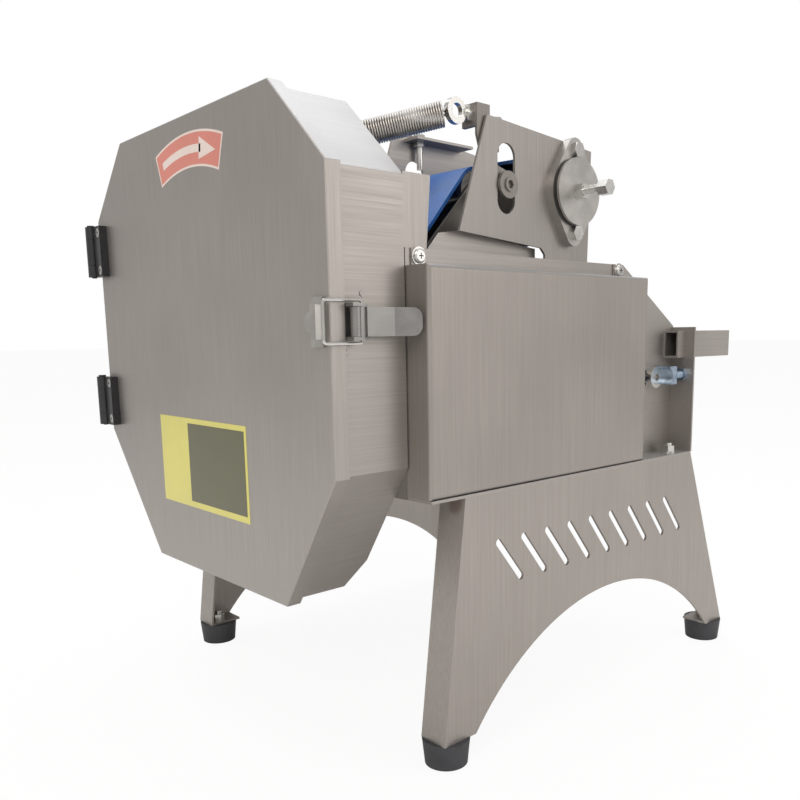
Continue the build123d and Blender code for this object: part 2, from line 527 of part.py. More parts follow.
PRESS_PLATE = [(268, 500), (268, 528), (310, 528), (310, 500), (296, 484), (134, 412), (114, 413), (111, 432),
               (192, 517), (225, 520)]
HORN = [(182, 506), (212, 502), (212, 524), (190, 530), (184, 552), (184, 578), (168, 578), (168, 552), (176, 528)]
HORN_X = ARM_RIGHT - 3.5
SPACER_R = 8.5
EYE_X = HORN_X - 7.7
EYE_Z = 570.0
with BuildPart() as press_arm:
    plate(side_plane(ARM_PLATE_LEFT), PRESS_PLATE, PLATE)
    plate(side_plane(PRESS_RIGHT + 2), PRESS_PLATE, PLATE)
    plate(side_plane(HORN_X), HORN, PLATE)
    block(HORN_X - 16, HORN_X, 168, 172, 559, 578)
    disc(side_plane(ARM_PLATE_LEFT), (PIVOT_Y, PIVOT_Z), DRUM_SHAFT_R + RUNNING_GAP,
         PRESS_RIGHT + 2 + PLATE - ARM_PLATE_LEFT, Mode.SUBTRACT)
    disc(side_plane(INNER_PLATE - 3.5), TOP_ROLLER, AXLE_R, ARM_RIGHT + 7.5 - INNER_PLATE + 3.5)
    disc(side_plane(ARM_PLATE_LEFT - 1.2), TOP_ROLLER, SPACER_R, 1.2)
    disc(side_plane(ARM_PLATE_LEFT + PLATE), TOP_ROLLER, SPACER_R, 2.5)
    disc(side_plane(PRESS_RIGHT + 2 + PLATE), TOP_ROLLER, SPACER_R, HORN_X - PRESS_RIGHT - 2 - PLATE)
    disc(side_plane(ARM_RIGHT + PLATE + 0.3), TOP_ROLLER, 11.8, 3.0)
    disc(side_plane(ARM_PLATE_LEFT + PLATE), NOSE_ROLLER, AXLE_R, PRESS_RIGHT + 2 - ARM_PLATE_LEFT - PLATE)
    disc(front_plane(172), (EYE_X, EYE_Z), M8_R, 4.0, Mode.SUBTRACT)
    hexagon(side_plane(ARM_RIGHT + 4.5), TOP_ROLLER, 4.0, 4, Mode.SUBTRACT)

with BuildPart() as eye_bolt:
    disc(front_plane(180), (EYE_X, EYE_Z), M8_R, 20)
    hexagon(front_plane(178), (EYE_X, EYE_Z), M8_NUT, 6)
    hexagon(front_plane(168), (EYE_X, EYE_Z), M8_NUT, 5)
    disc(side_plane(EYE_X - 2.5), (152, EYE_Z), 11.0, 5)
    disc(side_plane(EYE_X - 2.5), (152, EYE_Z), 6.0, 5, Mode.SUBTRACT)

with BuildPart() as press_drum:
    disc(side_plane(PRESS_LEFT), (PIVOT_Y, PIVOT_Z), DRUM_R - BELT_THICK - ROLLER_GAP, PRESS_RIGHT - PRESS_LEFT)
    disc(side_plane(CHAIN_X - 2), (PIVOT_Y, PIVOT_Z), DRUM_SHAFT_R, ARM_RIGHT + 11 - CHAIN_X + 2)
    disc(side_plane(CHAIN_X), (PIVOT_Y, PIVOT_Z), 18.0, 5)

with BuildPart() as top_roller:
    disc(side_plane(PRESS_LEFT), TOP_ROLLER, TOP_ROLLER_R - BELT_THICK - ROLLER_GAP, PRESS_RIGHT - PRESS_LEFT)
    disc(side_plane(PRESS_LEFT), TOP_ROLLER, AXLE_R + RUNNING_GAP, PRESS_RIGHT - PRESS_LEFT, Mode.SUBTRACT)

with BuildPart() as nose_roller:
    disc(side_plane(PRESS_LEFT), NOSE_ROLLER, NOSE_ROLLER_R - BELT_THICK - ROLLER_GAP, PRESS_RIGHT - PRESS_LEFT)
    disc(side_plane(PRESS_LEFT), NOSE_ROLLER, AXLE_R + RUNNING_GAP, PRESS_RIGHT - PRESS_LEFT, Mode.SUBTRACT)

with BuildPart() as pivot_flange_right:
    with BuildSketch(side_plane(ARM_RIGHT + PLATE)) as flange_outline:
        with Locations((PIVOT_Y, PIVOT_Z)):
            Circle(33)
        with Locations((PIVOT_Y, PIVOT_Z + 38), (PIVOT_Y, PIVOT_Z - 38)):
            Circle(12)
        make_hull()
    extrude(amount=9)
    disc(side_plane(ARM_RIGHT), (PIVOT_Y, PIVOT_Z), 14.0, PLATE)
    disc(side_plane(ARM_RIGHT), (PIVOT_Y, PIVOT_Z), DRUM_SHAFT_R + RUNNING_GAP, 12, Mode.SUBTRACT)
    for dz in (-38, 38):
        disc(side_plane(ARM_RIGHT), (PIVOT_Y, PIVOT_Z + dz), M8_R, 12, Mode.SUBTRACT)

with BuildPart() as pivot_flange_left:
    with BuildSketch(side_plane(INNER_PLATE - 7)) as far_flange:
        with Locations((PIVOT_Y, PIVOT_Z)):
            Circle(30)
        with Locations((PIVOT_Y, PIVOT_Z + 38), (PIVOT_Y, PIVOT_Z - 38)):
            Circle(12)
        make_hull()
    extrude(amount=7)
    disc(side_plane(INNER_PLATE), (PIVOT_Y, PIVOT_Z), 14.0, PLATE)
    disc(side_plane(INNER_PLATE - 7), (PIVOT_Y, PIVOT_Z), DRUM_SHAFT_R + RUNNING_GAP, 10, Mode.SUBTRACT)
    for dz in (-38, 38):
        disc(side_plane(INNER_PLATE - 7), (PIVOT_Y, PIVOT_Z + dz), M8_R, 12, Mode.SUBTRACT)

with BuildPart() as pivot_bolts:
    for dz in (-38, 38):
        hexagon(side_plane(ARM_RIGHT + PLATE + 9), (PIVOT_Y, PIVOT_Z + dz), M8_NUT, 5.3)
        disc(side_plane(ARM_RIGHT - 8), (PIVOT_Y, PIVOT_Z + dz), M8_R, 19.5)
        hexagon(side_plane(ARM_RIGHT - 6.5), (PIVOT_Y, PIVOT_Z + dz), M8_NUT, 6.5)
        hexagon(side_plane(INNER_PLATE - 12.3), (PIVOT_Y, PIVOT_Z + dz), M8_NUT, 5.3)
        disc(side_plane(INNER_PLATE - 7), (PIVOT_Y, PIVOT_Z + dz), M8_R, 9.5)
    disc(side_plane(441.5), (PIVOT_Y, PIVOT_Z), M8_R, 27)
    hexagon(side_plane(444), (PIVOT_Y, PIVOT_Z), M8_NUT, 6.5)
    hexagon(side_plane(468), (PIVOT_Y, PIVOT_Z), M8_NUT, 11)

with BuildPart() as pivot_seal:
    disc(side_plane(438.5), (PIVOT_Y, PIVOT_Z), 29.0, 3)

with BuildPart() as pivot_cap:
    disc(side_plane(441.5), (PIVOT_Y, PIVOT_Z), 31.2, 2.5)
    disc(side_plane(441.5), (PIVOT_Y, PIVOT_Z), M8_R, 2.5, Mode.SUBTRACT)

SPRING_START = (360.0, 90.5, 551.0)
SPRING_END = (408.5, 144.5, 567.5)
SPRING_R = 11.0
SPRING_WIRE_R = 1.2
with BuildPart() as spring:
    lower_end = Vector(SPRING_START[0] - MID_X, SPRING_START[1] - MID_Y, SPRING_START[2])
    upper_end = Vector(SPRING_END[0] - MID_X, SPRING_END[1] - MID_Y, SPRING_END[2])
    with BuildSketch(Plane(origin=lower_end, z_dir=upper_end - lower_end)) as coil_end:
        Circle(SPRING_R)
    extrude(coil_end.sketch, amount=(upper_end - lower_end).length)
    disc(side_plane(348), (86 + 3 - SPRING_WIRE_R, 549), SPRING_WIRE_R, 18)
    disc(side_plane(EYE_X - 12), (152 - 6 + SPRING_WIRE_R, EYE_Z), SPRING_WIRE_R, 16)

# Knife and drives
with BuildPart() as knife_rotor:
    disc(front_plane(BLADE_BACK), (KNIFE_X, KNIFE_Z), 30.0, 16)
    for k in range(3):
        turn = 120 * k
        with BuildSketch(front_plane(BLADE_BACK)) as blade_outline:
            with BuildLine():
                points = []
                for radius, angle in ((18, 0), (105, 34), (KNIFE_R, 78), (KNIFE_R - 8, 86), (78, 62), (18, 90)):
                    a = radians(angle + turn)
                    points.append((KNIFE_X + radius * cos(a), KNIFE_Z + radius * sin(a)))
                ThreePointArc(points[0], points[1], points[2])
                Line(points[2], points[3])
                ThreePointArc(points[3], points[4], points[5])
                Line(points[5], points[0])
            make_face()
        extrude(blade_outline.sketch, amount=BLADE_THICK - 1.6)
        extrude(blade_outline.sketch.moved(Location((0, 1.6 - BLADE_THICK, 0))), amount=1.6, taper=60)
    disc(front_plane(BLADE_BACK), (KNIFE_X, KNIFE_Z), KNIFE_SHAFT_R, -95)
    disc(front_plane(BLADE_BACK - 16), (KNIFE_X, KNIFE_Z), 10.0, 14)
    disc(front_plane(160), (KNIFE_X, KNIFE_Z), KNIFE_PULLEY_R, 18)
    fillet(knife_rotor.edges().group_by(Axis.Y)[0], 4.0)

with BuildPart() as knife_bearing:
    disc(front_plane(128), (KNIFE_X, KNIFE_Z), 34.0, 48)
    disc(front_plane(92), (KNIFE_X, KNIFE_Z), 48.0, 12)
    disc(front_plane(128), (KNIFE_X, KNIFE_Z), KNIFE_SHAFT_R + RUNNING_GAP, 50, Mode.SUBTRACT)

with BuildPart() as knife_motor:
    disc(front_plane(330), KNIFE_MOTOR, 60.0, 145)
    block(KNIFE_MOTOR[0] - 55, KNIFE_MOTOR[0] + 55, 195, 320, BODY_FLOOR + PLATE, 275)
    disc(front_plane(186), KNIFE_MOTOR, 9.5 + RUNNING_GAP, 2, Mode.SUBTRACT)
    disc(front_plane(200), KNIFE_MOTOR, 9.5 + RUNNING_GAP, 30, Mode.SUBTRACT)

with BuildPart() as motor_pulley:
    disc(front_plane(160), KNIFE_MOTOR, MOTOR_PULLEY_R, 18)
    disc(front_plane(199), KNIFE_MOTOR, 9.5, 45)

with BuildPart() as knife_v_belt:
    loop(front_plane(155), [((KNIFE_X, KNIFE_Z), KNIFE_PULLEY_R + 5), (KNIFE_MOTOR, MOTOR_PULLEY_R + 5)], 4.7, 8)

CONVEYOR_SPROCKET_R = 18.0
with BuildPart() as conveyor_gearbox:
    block(345, 425, 305, 375, BODY_FLOOR + PLATE, 299)
    disc(side_plane(INNER_PLATE - 72), (345, 275), 22.5, 345 - INNER_PLATE + 72)
    disc(side_plane(400), CONVEYOR_GEAR, DRUM_SHAFT_R + RUNNING_GAP, 25, Mode.SUBTRACT)

with BuildPart() as conveyor_sprocket:
    disc(side_plane(400.5), CONVEYOR_GEAR, DRUM_SHAFT_R, 48)
    disc(side_plane(440), CONVEYOR_GEAR, CONVEYOR_SPROCKET_R, 6)

with BuildPart() as conveyor_chain:
    loop(side_plane(439.5), [((DRIVE_Y, CONVEYOR_Z), 24.0 + 6), (CONVEYOR_GEAR, CONVEYOR_SPROCKET_R + 6)], 5.7, 7)

with BuildPart() as press_gearbox:
    block(GUARD_LEFT - 80, GUARD_LEFT, 252, 326, 345, 440)
    disc(front_plane(400), (GUARD_LEFT - 40, 392), 32.0, 74)
    block(GUARD_LEFT - 75, GUARD_LEFT - 5, 260, 318, BODY_FLOOR + PLATE, 345)
    disc(side_plane(GUARD_LEFT - 18), PRESS_GEAR, DRUM_SHAFT_R + RUNNING_GAP, 18, Mode.SUBTRACT)

with BuildPart() as press_sprocket:
    disc(side_plane(GUARD_LEFT - 17.5), PRESS_GEAR, DRUM_SHAFT_R, CHAIN_X + 5.5 - GUARD_LEFT + 17.5)
    disc(side_plane(CHAIN_X), PRESS_GEAR, 18.0, 5)

with BuildPart() as press_chain:
    loop(side_plane(CHAIN_X - 0.5), [((PIVOT_Y, PIVOT_Z), 23.0), (PRESS_GEAR, 23.0)], 4.7, 6)

with BuildPart() as chain_guard:
    block(GUARD_LEFT, INNER_PLATE, 263, 315, BODY_TOP, 545)
    block(GUARD_LEFT + SHEET, INNER_PLATE, 265, 313, BODY_TOP, 543, Mode.SUBTRACT)
    block(INNER_PLATE - 8, INNER_PLATE, 262, 316, 470, 545, Mode.SUBTRACT)

NODES = {
    "leg_right": leg_right, "leg_left": leg_left, "rubber_feet": rubber_feet, "frame_bolts": frame_bolts,
    "side_plate_right": side_plate_right, "side_plate_left": side_plate_left,
    "base_plate": base_plate, "front_bulkhead": front_bulkhead, "body_cover": body_cover,
    "drive_cover": drive_cover, "cover_screws": cover_screws, "handle_tube_right": handle_tube_right,
    "handle_tube_left": handle_tube_left, "housing": housing,
    "shear_plate": shear_plate, "mouth_hood": mouth_hood, "door": door,
    "hinge_leaves_door": hinge_leaves_door, "hinge_screws": hinge_screws,
    "hinge_leaves_housing": hinge_leaves_housing, "hinge_pins": hinge_pins, "latch_keeper": latch_keeper,
    "latch_base": latch_base, "latch_lever": latch_lever, "latch_bail": latch_bail, "inner_plate": inner_plate,
    "arm_plate_right": arm_plate_right, "arm_bolts": arm_bolts, "conveyor_bed": conveyor_bed,
    "feed_guides": feed_guides, "conveyor_belt": conveyor_belt, "conveyor_drive_roller": conveyor_drive_roller,
    "drive_bearing": drive_bearing, "conveyor_tail_roller": conveyor_tail_roller, "tail_axle": tail_axle,
    "tension_rod": tension_rod, "press_belt": press_belt, "press_arm": press_arm, "eye_bolt": eye_bolt,
    "press_drum": press_drum, "top_roller": top_roller, "nose_roller": nose_roller,
    "pivot_flange_right": pivot_flange_right, "pivot_flange_left": pivot_flange_left,
    "pivot_bolts": pivot_bolts, "pivot_seal": pivot_seal, "pivot_cap": pivot_cap,
    "spring": spring, "knife_rotor": knife_rotor,
    "knife_bearing": knife_bearing, "knife_motor": knife_motor, "motor_pulley": motor_pulley,
    "knife_v_belt": knife_v_belt, "conveyor_gearbox": conveyor_gearbox,
    "conveyor_sprocket": conveyor_sprocket, "conveyor_chain": conveyor_chain,
    "press_gearbox": press_gearbox, "press_sprocket": press_sprocket, "press_chain": press_chain,
    "chain_guard": chain_guard,
}
for name, node in NODES.items():
    node.part.label = name
    export_step(node.part, "parts/" + name + ".step")
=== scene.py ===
"""Looks of the belt-fed vegetable slicer: metals, rubber, belts, spring coils, decals, light and camera."""

import logging
import math
from dataclasses import dataclass, field
from enum import Enum
from typing import Dict, List, Optional, Sequence, Tuple

import bmesh
import bpy
from mathutils import Matrix, Vector


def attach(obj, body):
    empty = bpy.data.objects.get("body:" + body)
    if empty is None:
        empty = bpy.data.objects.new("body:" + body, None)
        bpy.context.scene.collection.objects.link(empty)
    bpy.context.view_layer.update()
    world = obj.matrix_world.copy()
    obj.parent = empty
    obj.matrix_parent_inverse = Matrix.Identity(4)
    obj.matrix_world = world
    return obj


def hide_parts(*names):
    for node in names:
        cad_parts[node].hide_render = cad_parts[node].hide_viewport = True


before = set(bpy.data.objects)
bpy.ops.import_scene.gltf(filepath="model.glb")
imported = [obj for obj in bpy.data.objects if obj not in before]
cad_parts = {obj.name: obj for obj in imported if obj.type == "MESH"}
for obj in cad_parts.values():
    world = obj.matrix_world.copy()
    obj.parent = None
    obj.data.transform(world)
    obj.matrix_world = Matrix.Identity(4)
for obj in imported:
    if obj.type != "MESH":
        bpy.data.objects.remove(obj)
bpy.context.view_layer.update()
LOG = logging.getLogger("slicer")

Point = Tuple[float, float, float]
Colour = Tuple[float, float, float]

MID_X = 236.0
MID_Y = 284.5


def at(x: float, y: float, z: float) -> Vector:
    """Turn drawing millimetres into scene metres.

    Args:
        x: distance to the right of the door's left edge.
        y: distance behind the door's front face.
        z: height over the floor.

    Returns:
        The point in the shared frame, in metres.
    """
    return Vector(((x - MID_X) / 1000, (y - MID_Y) / 1000, z / 1000))


class Axis(Enum):
    """Direction of the grain of a brushed sheet."""

    X = 0
    Y = 1
    Z = 2


class Socket:
    """A shader value that can be used in ordinary arithmetic."""

    def __init__(self, tree: bpy.types.NodeTree, source: bpy.types.NodeSocket) -> None:
        """Wrap an output socket.

        Args:
            tree: the node tree that owns the socket.
            source: the output socket itself.
        """
        self.tree = tree
        self.source = source

    def _math(self, operation: str, other: object = None, third: object = None) -> "Socket":
        node = self.tree.nodes.new("ShaderNodeMath")
        node.operation = operation
        for index, value in enumerate((self, other, third)):
            if isinstance(value, Socket):
                self.tree.links.new(value.source, node.inputs[index])
            elif value is not None:
                node.inputs[index].default_value = float(value)
        return Socket(self.tree, node.outputs[0])

    def __add__(self, other: object) -> "Socket":
        return self._math("ADD", other)

    def __sub__(self, other: object) -> "Socket":
        return self._math("SUBTRACT", other)

    def __mul__(self, other: object) -> "Socket":
        return self._math("MULTIPLY", other)

    def __truediv__(self, other: object) -> "Socket":
        return self._math("DIVIDE", other)

    def above(self, limit: float) -> "Socket":
        """One where the value is over the limit, zero elsewhere."""
        return self._math("GREATER_THAN", limit)

    def below(self, limit: float) -> "Socket":
        """One where the value is under the limit, zero elsewhere."""
        return self._math("LESS_THAN", limit)

    def ramp(self, low: float, high: float) -> "Socket":
        """Grow smoothly from zero at low to one at high."""
        node = self.tree.nodes.new("ShaderNodeMapRange")
        node.interpolation_type = "SMOOTHSTEP"
        node.inputs["From Min"].default_value = low
        node.inputs["From Max"].default_value = high
        self.tree.links.new(self.source, node.inputs["Value"])
        return Socket(self.tree, node.outputs["Result"])


@dataclass(frozen=True)
class Finish:
    """What a surface is made of, in plain numbers, with an optional painted sheen on its upward faces."""

    name: str
    colour: Colour
    metallic: float = 0.0
    roughness: float = 0.5
    grain: Optional[Axis] = None
    grain_depth: float = 0.0
    mottle: float = 0.06
    mottle_size: float = 30.0
    coat: float = 0.0
    edge_gloss: float = 0.0
    speckle: float = 0.0
    painted_top_sheen: Optional[Colour] = None
    stain: Optional[Tuple[Point, float]] = None


class MaterialShop:
    """Builds one node material for each finish and keeps it for reuse."""

    def __init__(self) -> None:
        """Start with no materials."""
        self.made: Dict[str, bpy.types.Material] = {}

    @staticmethod
    def add(tree: bpy.types.NodeTree, kind: str, values: Optional[Dict[str, object]] = None,
            links: Optional[Dict[str, Socket]] = None, **settings: object) -> bpy.types.Node:
        """Add a node with its settings, constants and links.

        Args:
            tree: the tree that receives the node.
            kind: the node's type name.
            values: constants by input name.
            links: values to connect by input name.
            **settings: attributes of the node itself.

        Returns:
            The new node.
        """
        node = tree.nodes.new(kind)
        for key, value in settings.items():
            setattr(node, key, value)
        for key, value in (values or {}).items():
            node.inputs[key].default_value = value
        for key, value in (links or {}).items():
            tree.links.new(value.source, node.inputs[key])
        return node

    def noise(self, tree: bpy.types.NodeTree, place: Socket, scale: Point, size: float, detail: float = 3.0) -> Socket:
        """Noise read at the object's own coordinates, stretched by scale."""
        mapping = self.add(tree, "ShaderNodeMapping", {"Scale": scale}, {"Vector": place})
        node = self.add(tree, "ShaderNodeTexNoise", {"Scale": size, "Detail": detail},
                        {"Vector": Socket(tree, mapping.outputs[0])})
        return Socket(tree, node.outputs["Fac"])

    def mix(self, tree: bpy.types.NodeTree, factor: Socket, first: object, second: object) -> Socket:
        """Blend two colours by a factor."""
        node = self.add(tree, "ShaderNodeMix", data_type="RGBA")
        tree.links.new(factor.source, node.inputs[0])
        for index, value in ((6, first), (7, second)):
            if isinstance(value, Socket):
                tree.links.new(value.source, node.inputs[index])
            else:
                node.inputs[index].default_value = (*value, 1.0)
        return Socket(tree, node.outputs[2])

    def material(self, finish: Finish) -> bpy.types.Material:
        """The node material of a finish, made on first use.

        Args:
            finish: the numbers of the surface.

        Returns:
            The Blender material.
        """
        if finish.name in self.made:
            return self.made[finish.name]
        made = bpy.data.materials.new(finish.name)
        made.use_nodes = True
        tree = made.node_tree
        shader = tree.nodes["Principled BSDF"]
        where = self.add(tree, "ShaderNodeTexCoord")
        place = Socket(tree, where.outputs["Object"])
        shader.inputs["Metallic"].default_value = finish.metallic
        shader.inputs["Coat Weight"].default_value = finish.coat
        shader.inputs["Coat Roughness"].default_value = 0.15

        cloud = self.noise(tree, place, (1, 1, 1), finish.mottle_size, 4.0)
        dark = tuple(c * (1 - finish.mottle) for c in finish.colour)
        light = tuple(min(1.0, c * (1 + finish.mottle)) for c in finish.colour)
        colour = self.mix(tree, cloud.ramp(0.3, 0.7), dark, light)
        rough = cloud.ramp(0.25, 0.75) * 0.10 + (finish.roughness - 0.05)
        height: Optional[Socket] = None
        if finish.grain is not None:
            stretch = [1100.0, 1100.0, 1100.0]
            stretch[finish.grain.value] = 12.0
            lines = self.noise(tree, place, tuple(stretch), 1.0, 2.0)
            colour = self.mix(tree, lines.ramp(0.25, 0.75) * 0.55, colour, tuple(c * 0.84 for c in finish.colour))
            rough = rough + (lines - 0.5) * 0.22
            height = lines
        if finish.speckle > 0:
            grit = self.noise(tree, place, (1, 1, 1), 900.0, 2.0)
            colour = self.mix(tree, grit.ramp(0.55, 0.75) * finish.speckle, colour,
                              tuple(min(1.0, c * 1.8 + 0.02) for c in finish.colour))
            height = grit if height is None else height + grit * 0.5
        # Painted sheen: faces that point upward are blended towards a pale blue-grey, standing in for the bright sky
        # reflected on top faces.
        if finish.painted_top_sheen is not None:
            normal = self.add(tree, "ShaderNodeSeparateXYZ", links={"Vector": Socket(tree, where.outputs["Normal"])})
            upward = Socket(tree, normal.outputs["Z"])
            colour = self.mix(tree, upward.ramp(0.3, 0.9) * 0.7, colour, finish.painted_top_sheen)
        if finish.stain is not None:
            spot, radius = finish.stain
            away = self.add(tree, "ShaderNodeVectorMath", operation="DISTANCE")
            tree.links.new(place.source, away.inputs[0])
            away.inputs[1].default_value = spot
            near = Socket(tree, away.outputs["Value"]).ramp(radius, radius * 0.35)
            colour = self.mix(tree, near * 0.55, colour, (0.16, 0.10, 0.07))
        tree.links.new(colour.source, shader.inputs["Base Color"])
        tree.links.new(rough.source, shader.inputs["Roughness"])
        if height is not None and finish.grain_depth > 0:
            bump = self.add(tree, "ShaderNodeBump", {"Strength": finish.grain_depth, "Distance": 0.0002},
                            {"Height": height})
            tree.links.new(bump.outputs["Normal"], shader.inputs["Normal"])
        self.made[finish.name] = made
        return made


SHOP = MaterialShop()
STEEL = (0.40, 0.370, 0.345)
# The three grained sheets carry a painted sheen on their upward faces: sky reflection painted into the colour.
SHEET_Z = Finish("sheet_upright", STEEL, 0.82, 0.44, Axis.Z, 0.10, 0.05, 9.0, painted_top_sheen=(0.52, 0.53, 0.55))
SHEET_X = Finish("sheet_across", STEEL, 0.82, 0.42, Axis.X, 0.10, 0.05, 9.0, painted_top_sheen=(0.52, 0.53, 0.55))
SHEET_Y = Finish("sheet_along", STEEL, 0.82, 0.44, Axis.Y, 0.10, 0.05, 9.0, painted_top_sheen=(0.52, 0.53, 0.55))
LEG_SHEET = Finish("leg_sheet", (0.385, 0.352, 0.325), 0.80, 0.46, Axis.Z, 0.10, 0.05, 9.0,
                   stain=(((448 - MID_X) / 1000, (117 - MID_Y) / 1000, 0.236), 0.012))
DARK_SHEET = Finish("shaded_sheet", (0.26, 0.24, 0.22), 0.75, 0.5, Axis.Z, 0.10, 0.07, 12.0)
BRIGHT = Finish("bright_steel", (0.62, 0.61, 0.59), 0.95, 0.24, None, 0.0, 0.05, 60.0)
BLADE = Finish("blade_steel", (0.66, 0.66, 0.66), 0.98, 0.2, Axis.X, 0.12, 0.05, 40.0)
ZINC = Finish("blue_zinc", (0.34, 0.42, 0.52), 0.9, 0.32, None, 0.0, 0.18, 160.0)
SPRING_STEEL = Finish("spring_steel", (0.50, 0.47, 0.44), 0.95, 0.3, None, 0.0, 0.1, 90.0)
RUBBER = Finish("foot_rubber", (0.040, 0.041, 0.046), 0.0, 0.62, None, 0.25, 0.15, 60.0, speckle=0.12)
SEAL = Finish("seal_rubber", (0.012, 0.012, 0.013), 0.0, 0.55, None, 0.1, 0.1, 60.0)
HINGE_BLACK = Finish("hinge_black", (0.016, 0.016, 0.018), 0.1, 0.38, None, 0.3, 0.15, 80.0, 0.25, speckle=0.1)
POLISHED = Finish("worn_steel", (0.44, 0.42, 0.40), 0.92, 0.34, None, 0.0, 0.08, 60.0)
LEVER_STEEL = Finish("lever_steel", (0.30, 0.29, 0.28), 0.9, 0.36, Axis.Y, 0.08, 0.08, 60.0)
ARM_SHEET = Finish("arm_sheet", (0.34, 0.315, 0.295), 0.82, 0.46, Axis.Z, 0.10, 0.06, 12.0)
# The cover also carries a painted sheen on its upward faces.
COVER_SHEET = Finish("cover_sheet", (0.355, 0.325, 0.30), 0.82, 0.46, Axis.Z, 0.10, 0.05, 9.0, painted_top_sheen=(0.50, 0.51, 0.53))
PAINTED = Finish("machine_paint", (0.11, 0.13, 0.15), 0.1, 0.5, None, 0.12, 0.12, 60.0, speckle=0.08)
WHITE_PLASTIC = Finish("white_plastic", (0.72, 0.72, 0.68), 0.0, 0.4, None, 0.05, 0.05, 50.0, 0.1)
BELT = Finish("belt_blue", (0.020, 0.120, 0.420), 0.0, 0.42, None, 0.15, 0.12, 50.0, 0.2, speckle=0.05)
NUB = Finish("belt_nub", (0.040, 0.190, 0.560), 0.0, 0.34, None, 0.0, 0.10, 90.0, 0.3)
CHAIN = Finish("oiled_chain", (0.10, 0.09, 0.08), 0.8, 0.4, None, 0.0, 0.2, 300.0)
LABEL = Finish("label_yellow", (0.66, 0.60, 0.14), 0.0, 0.38, None, 0.0, 0.04, 14.0, 0.35)
LABEL_PANEL = Finish("label_dark", (0.10, 0.095, 0.04), 0.0, 0.42, None, 0.0, 0.08, 20.0, 0.35)
STICKER = Finish("sticker_red", (0.62, 0.205, 0.155), 0.0, 0.42, None, 0.0, 0.05, 16.0, 0.3)
STICKER_EDGE = Finish("sticker_pale", (0.74, 0.62, 0.56), 0.0, 0.42, None, 0.0, 0.04, 16.0, 0.3)
# Painted shade: the near-black film laid on screw heads in place of the shaded hollow of their cross recess.
RECESS_SHADE = Finish("painted_recess_shade", (0.02, 0.02, 0.02), 0.3, 0.6, None, 0.0, 0.1, 90.0)

NODE_FINISH: Dict[str, Finish] = {
    "housing": SHEET_Y, "door": SHEET_Z, "side_plate_right": SHEET_Y, "side_plate_left": SHEET_Y,
    "base_plate": SHEET_X, "front_bulkhead": DARK_SHEET, "body_cover": SHEET_Y, "drive_cover": COVER_SHEET,
    "mouth_hood": SHEET_Z, "leg_right": LEG_SHEET, "leg_left": LEG_SHEET, "handle_tube_right": SHEET_Y,
    "handle_tube_left": SHEET_Y, "arm_plate_right": ARM_SHEET, "inner_plate": SHEET_Y, "feed_guides": SHEET_Y,
    "chain_guard": SHEET_Z, "press_arm": DARK_SHEET, "pivot_flange_right": POLISHED, "pivot_flange_left": BRIGHT,
    "pivot_cap": POLISHED, "pivot_seal": SEAL, "pivot_bolts": BRIGHT, "arm_bolts": BRIGHT, "frame_bolts": BRIGHT,
    "cover_screws": BRIGHT, "hinge_screws": BRIGHT, "eye_bolt": BRIGHT, "tail_axle": BRIGHT,
    "tension_rod": ZINC, "latch_bail": BRIGHT, "latch_base": LEVER_STEEL, "latch_keeper": POLISHED,
    "latch_lever": LEVER_STEEL, "hinge_leaves_door": HINGE_BLACK, "hinge_leaves_housing": HINGE_BLACK,
    "hinge_pins": HINGE_BLACK, "rubber_feet": RUBBER, "conveyor_belt": BELT, "press_belt": BELT,
    "conveyor_bed": WHITE_PLASTIC, "shear_plate": WHITE_PLASTIC, "knife_rotor": BLADE,
    "knife_bearing": PAINTED, "drive_bearing": PAINTED, "knife_motor": PAINTED, "motor_pulley": PAINTED,
    "conveyor_gearbox": PAINTED, "press_gearbox": PAINTED, "conveyor_sprocket": CHAIN,
    "press_sprocket": CHAIN, "conveyor_chain": CHAIN, "press_chain": CHAIN, "knife_v_belt": SEAL,
    "conveyor_drive_roller": BRIGHT, "conveyor_tail_roller": BRIGHT, "press_drum": BRIGHT,
    "top_roller": BRIGHT, "nose_roller": BRIGHT,
}


class MeshBuilder:
    """Turns plain point lists into named mesh objects."""

    @staticmethod
    def finish(name: str, mesh: bpy.types.Mesh, finishes: Sequence[Finish]) -> bpy.types.Object:
        """Make an object of a mesh and give it its materials."""
        made = bpy.data.objects.new(name, mesh)
        for finish in finishes:
            mesh.materials.append(SHOP.material(finish))
        bpy.context.scene.collection.objects.link(made)
        return made

    @classmethod
    def slab(cls, name: str, outline: Sequence[Vector], thickness: Vector, finish: Finish,
             bevel: float = 0.0) -> bpy.types.Object:
        """Extrude an outline into a thin slab.

        Args:
            name: the piece's name.
            outline: corner points in order.
            thickness: the extrusion, as a vector.
            finish: the surface.
            bevel: rounding of the edges, in metres.

        Returns:
            The new object.
        """
        work = bmesh.new()
        low = [work.verts.new(p) for p in outline]
        high = [work.verts.new(p + thickness) for p in outline]
        work.faces.new(low)
        work.faces.new(list(reversed(high)))
        for i, corner in enumerate(low):
            j = (i + 1) % len(low)
            work.faces.new([low[j], corner, high[i], high[j]])
        bmesh.ops.recalc_face_normals(work, faces=work.faces)
        if bevel > 0:
            bmesh.ops.bevel(work, geom=list(work.edges), offset=bevel, segments=2, affect="EDGES", profile=0.5)
        mesh = bpy.data.meshes.new(name)
        work.to_mesh(mesh)
        work.free()
        return cls.finish(name, mesh, [finish])


